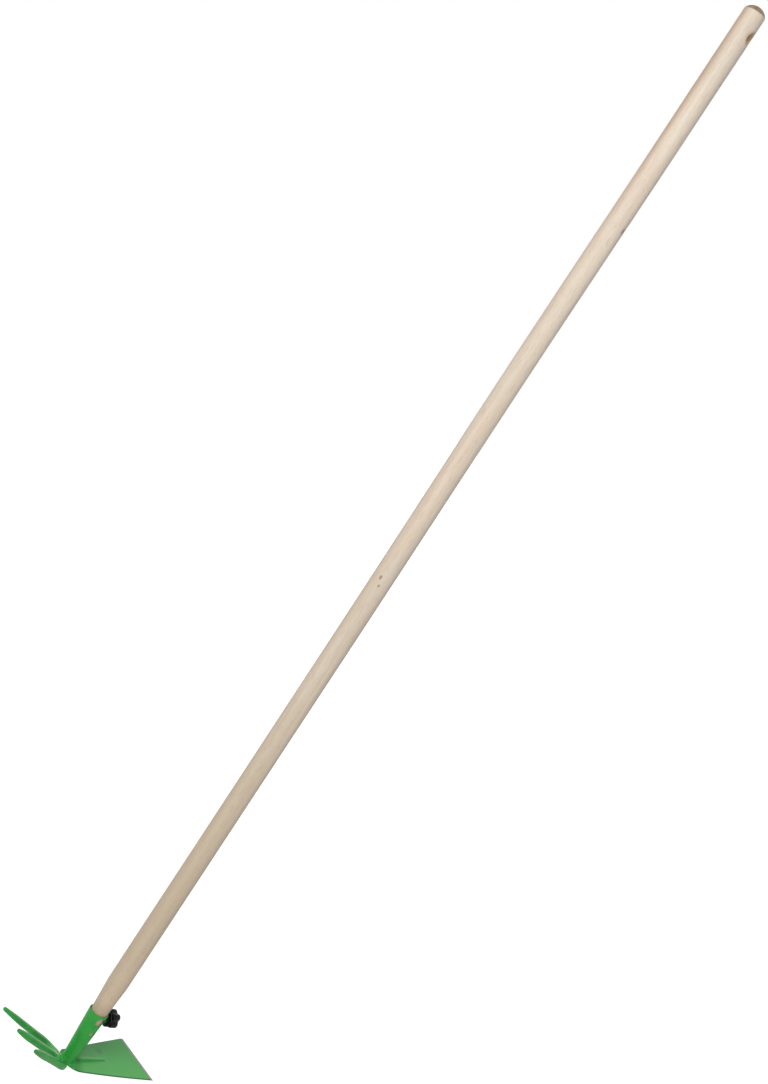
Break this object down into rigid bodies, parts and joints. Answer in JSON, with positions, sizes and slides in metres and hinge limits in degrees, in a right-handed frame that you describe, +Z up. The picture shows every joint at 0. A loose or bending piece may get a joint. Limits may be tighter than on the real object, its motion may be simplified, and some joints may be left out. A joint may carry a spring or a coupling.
{
  "type": "double hoe",
  "caption": "Long-handled double hoe: a flat hoe blade and a three-tined fork on one socket, clamped to a round wooden handle by a star knob.",
  "frame": {"origin": "middle of the hang hole near the top of the handle, on the handle's axis", "axes": "+Z up the handle away from the head, +Y towards the hoe blade, +X across the tool"},
  "size_m": [0.0822, 0.2302, 1.5193],
  "materials": {
    "wood": "planed, clear",
    "green_paint": "gloss powder coat",
    "zinc_plate": "zinc plated",
    "black_steel": "black oxide",
    "black_plastic": "fine satin"
  },
  "bodies": {
    "handle": {"handle": "wood"},
    "head": {"socket": "green_paint", "blade": "green_paint", "fork": "green_paint", "blade_weld": "green_paint", "fork_weld": "green_paint", "clamp_nut": "green_paint", "nut_weld": "green_paint"},
    "washer": {"clamp_washer": "black_steel"},
    "clamp": {"clamp_screw": "zinc_plate", "star_knob": "black_plastic"}
  },
  "joints": [
    {"name": "head_release", "type": "slide", "parent": "handle", "child": "head", "axis": [0, 0, -1], "range_m": [0, 0.08]},
    {"name": "screw_travel", "type": "slide", "parent": "head", "child": "washer", "axis": [0, 1, 0], "range_m": [0, 0.00501]},
    {"name": "knob_turn", "type": "hinge", "parent": "washer", "child": "clamp", "pos_m": [0, 0.0278, -1.4124], "axis": [0, 1, 0], "range_deg": [0, 1440]}
  ],
  "couplings": [
    {"joint": "screw_travel", "follows": "knob_turn", "m_per_rad": 0.00019894}
  ]
}
